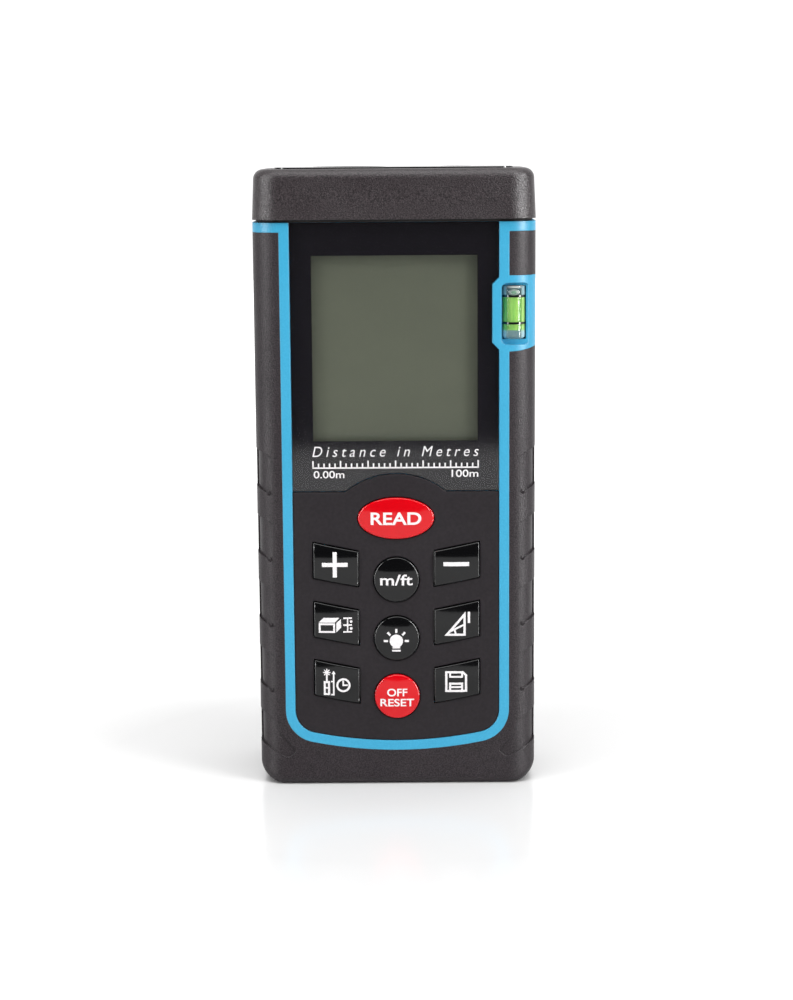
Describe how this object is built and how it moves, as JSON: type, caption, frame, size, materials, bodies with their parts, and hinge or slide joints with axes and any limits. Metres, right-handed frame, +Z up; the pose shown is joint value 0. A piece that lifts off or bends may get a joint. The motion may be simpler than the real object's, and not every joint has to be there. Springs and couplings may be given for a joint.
{
  "type": "laser distance meter",
  "caption": "Handheld laser distance meter: slim upright case with rubber grip, large display, domed keys, bubble vial in the side and optics in the top cap.",
  "frame": {"origin": "middle of the foot, on the plane the meter stands on", "axes": "+X to the viewer's right, front with display and keys towards -Y, +Z up, out of the end with the optics"},
  "size_m": [0.0532, 0.028, 0.118],
  "materials": {
    "blue_plastic": "satin",
    "grip_rubber": "matte",
    "black_plastic": "textured",
    "panel_plastic": "satin",
    "gasket_rubber": "matte",
    "label_film": "matte",
    "steel": "satin",
    "gloss_black": "gloss",
    "clear_window": "gloss",
    "mask_black": "matte",
    "lens_glass": "gloss",
    "lcd_glass": "satin",
    "light_guide": "gloss",
    "white_plastic": "matte",
    "flex_film": "satin",
    "key_red": "gloss",
    "silicone": "matte",
    "circuit_green": "satin",
    "chip_black": "matte",
    "bench_aluminium": "anodised",
    "brass": "satin",
    "cell_jacket": "gloss",
    "spring_steel": "gloss",
    "vial_acrylic": "gloss",
    "vial_fluid": "gloss",
    "air": "gloss"
  },
  "bodies": {
    "housing": {"front_shell": "blue_plastic", "front_grip": "grip_rubber", "rear_shell": "black_plastic", "shell_gasket": "gasket_rubber", "rear_label": "label_film", "housing_screws": "steel", "display_window": "clear_window", "window_mask": "mask_black", "key_panel": "panel_plastic", "lcd_panel": "lcd_glass", "lcd_light": "light_guide", "lcd_frame": "white_plastic", "lcd_flex": "flex_film", "keypad_mat": "silicone", "switch_domes": "steel", "main_board": "circuit_green", "board_screws": "steel", "board_chips": "chip_black", "buzzer": "chip_black", "optic_bench": "bench_aluminium", "bench_screws": "steel", "receiver_lens": "lens_glass", "filter_glass": "lens_glass", "receiver_board": "circuit_green", "apd_sensor": "steel", "shield_can": "steel", "laser_barrel": "brass", "laser_diode": "steel", "collimator_lens": "lens_glass", "end_cap": "black_plastic", "optics_bezel": "gloss_black", "receiver_window": "lens_glass", "emitter_window": "lens_glass", "cap_gasket": "gasket_rubber", "battery_left": "cell_jacket", "battery_right": "cell_jacket", "battery_springs": "spring_steel", "battery_plates": "spring_steel", "vial_tube": "vial_acrylic", "vial_plug": "white_plastic", "vial_liquid": "vial_fluid", "vial_rings": "mask_black"},
    "key_measure_body": {"key_measure": "key_red"},
    "key_unit_body": {"key_unit": "gloss_black"},
    "key_light_body": {"key_light": "gloss_black"},
    "key_off_body": {"key_off": "key_red"},
    "key_plus_body": {"key_plus": "gloss_black"},
    "key_area_body": {"key_area": "gloss_black"},
    "key_timer_body": {"key_timer": "gloss_black"},
    "key_minus_body": {"key_minus": "gloss_black"},
    "key_angle_body": {"key_angle": "gloss_black"},
    "key_save_body": {"key_save": "gloss_black"},
    "door_body": {"battery_door": "black_plastic"},
    "bubble_body": {"vial_bubble": "air"}
  },
  "joints": [
    {"name": "press_measure", "type": "slide", "parent": "housing", "child": "key_measure_body", "axis": [0, 1, 0], "range_m": [0, 0.0008], "stiffness_N_per_m": 1500},
    {"name": "press_unit", "type": "slide", "parent": "housing", "child": "key_unit_body", "axis": [0, 1, 0], "range_m": [0, 0.0008], "stiffness_N_per_m": 1500},
    {"name": "press_light", "type": "slide", "parent": "housing", "child": "key_light_body", "axis": [0, 1, 0], "range_m": [0, 0.0008], "stiffness_N_per_m": 1500},
    {"name": "press_off", "type": "slide", "parent": "housing", "child": "key_off_body", "axis": [0, 1, 0], "range_m": [0, 0.0008], "stiffness_N_per_m": 1500},
    {"name": "press_plus", "type": "slide", "parent": "housing", "child": "key_plus_body", "axis": [0, 1, 0], "range_m": [0, 0.0008], "stiffness_N_per_m": 1500},
    {"name": "press_area", "type": "slide", "parent": "housing", "child": "key_area_body", "axis": [0, 1, 0], "range_m": [0, 0.0008], "stiffness_N_per_m": 1500},
    {"name": "press_timer", "type": "slide", "parent": "housing", "child": "key_timer_body", "axis": [0, 1, 0], "range_m": [0, 0.0008], "stiffness_N_per_m": 1500},
    {"name": "press_minus", "type": "slide", "parent": "housing", "child": "key_minus_body", "axis": [0, 1, 0], "range_m": [0, 0.0008], "stiffness_N_per_m": 1500},
    {"name": "press_angle", "type": "slide", "parent": "housing", "child": "key_angle_body", "axis": [0, 1, 0], "range_m": [0, 0.0008], "stiffness_N_per_m": 1500},
    {"name": "press_save", "type": "slide", "parent": "housing", "child": "key_save_body", "axis": [0, 1, 0], "range_m": [0, 0.0008], "stiffness_N_per_m": 1500},
    {"name": "door_hinge", "type": "hinge", "parent": "housing", "child": "door_body", "pos_m": [0, 0.014, 0.0085], "axis": [-1, 0, 0], "range_deg": [0, 90]},
    {"name": "bubble_slide", "type": "slide", "parent": "housing", "child": "bubble_body", "axis": [0, 0, -1], "range_m": [0, 0.0062], "stiffness_N_per_m": 0.05, "springref_m": -0.01, "deforming": ["vial_liquid"]}
  ]
}
